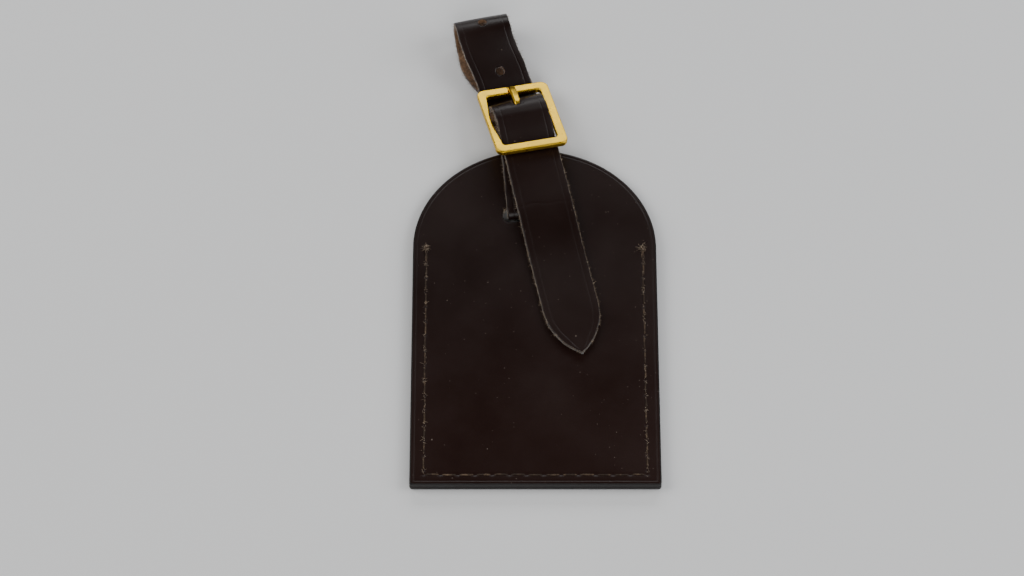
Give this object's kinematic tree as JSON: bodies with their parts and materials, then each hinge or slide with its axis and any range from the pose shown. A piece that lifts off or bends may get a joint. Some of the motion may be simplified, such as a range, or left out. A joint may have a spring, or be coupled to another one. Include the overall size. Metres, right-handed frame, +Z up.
{
  "type": "luggage tag",
  "caption": "Stitched leather luggage tag with a rounded top, a card pocket with a window behind, and a buckled strap threaded through its slot.",
  "frame": {"origin": "middle of the whole object's footprint, on the surface it lies on", "axes": "+Y from the tag's square foot towards the strap's loop, +Z up off the surface, +X to the right seen from above"},
  "size_m": [0.07, 0.1556, 0.012],
  "materials": {
    "tag_leather": "smooth waxed bridle leather",
    "strap_leather": "smooth waxed bridle leather with raw pale edges",
    "thread": "waxed linen",
    "clear_sheet": "clear",
    "card_paper": "uncoated card",
    "gold_brass": "satin"
  },
  "bodies": {
    "tag": {"front_panel": "tag_leather", "pocket_panel": "tag_leather", "window_sheet": "clear_sheet", "seam_left": "thread", "seam_right": "thread", "seam_bottom": "thread"},
    "card": {"address_card": "card_paper"},
    "strap_body": {"strap": "strap_leather", "turned_end_stitches": "thread"},
    "buckle": {"buckle_frame": "gold_brass"},
    "prong": {"buckle_prong": "gold_brass"},
    "tail": {"strap_tail": "strap_leather"}
  },
  "joints": [
    {"name": "card_slide", "type": "slide", "parent": "tag", "child": "card", "axis": [0, 1, 0], "range_m": [0, 0.01]},
    {"name": "strap_swing", "type": "hinge", "parent": "tag", "child": "strap_body", "pos_m": [0.0002, 0.01048, 0.0019], "axis": [0, 0, 1], "range_deg": [-2, 2]},
    {"name": "buckle_rock", "type": "hinge", "parent": "strap_body", "child": "buckle", "pos_m": [-0.0036, 0.04078, 0.00654], "axis": [0.9703, 0.2419, 0], "range_deg": [-1.5, 1.5]},
    {"name": "prong_lift", "type": "hinge", "parent": "buckle", "child": "prong", "pos_m": [-0.0036, 0.04078, 0.00654], "axis": [0.9703, 0.2419, 0], "range_deg": [0, 5]},
    {"name": "tail_lift", "type": "hinge", "parent": "strap_body", "child": "tail", "pos_m": [-0.00051, 0.02754, 0.00772], "axis": [-0.977, -0.213, 0], "range_deg": [0, 50]}
  ]
}
